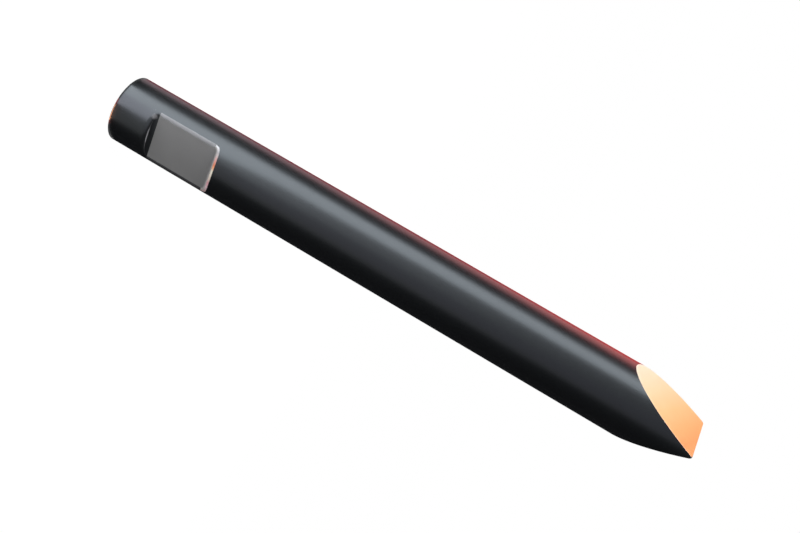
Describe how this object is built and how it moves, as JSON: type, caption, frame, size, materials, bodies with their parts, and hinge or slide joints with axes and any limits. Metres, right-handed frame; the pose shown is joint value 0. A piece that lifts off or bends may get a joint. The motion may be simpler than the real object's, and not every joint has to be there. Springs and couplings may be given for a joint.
{
  "type": "hydraulic breaker chisel",
  "caption": "Round steel chisel bar for a hydraulic rock breaker: wedge-shaped working end, milled retaining flats on opposite sides near a flat struck end.",
  "frame": {"origin": "middle of the flat struck end, on which the chisel stands", "axes": "+Z along the bar from the struck end to the cutting edge; the cutting edge lies along X; the retaining flats face +X and -X; the bevels of the wedge face +Y and -Y"},
  "size_m": [0.135, 0.135, 1.235],
  "materials": {
    "blackened_steel": "satin black on the round of the bar, bare milled grey on the retaining flats, cream to orange tint on the bevels"
  },
  "bodies": {
    "root": {"chisel": "blackened_steel"}
  },
  "joints": []
}
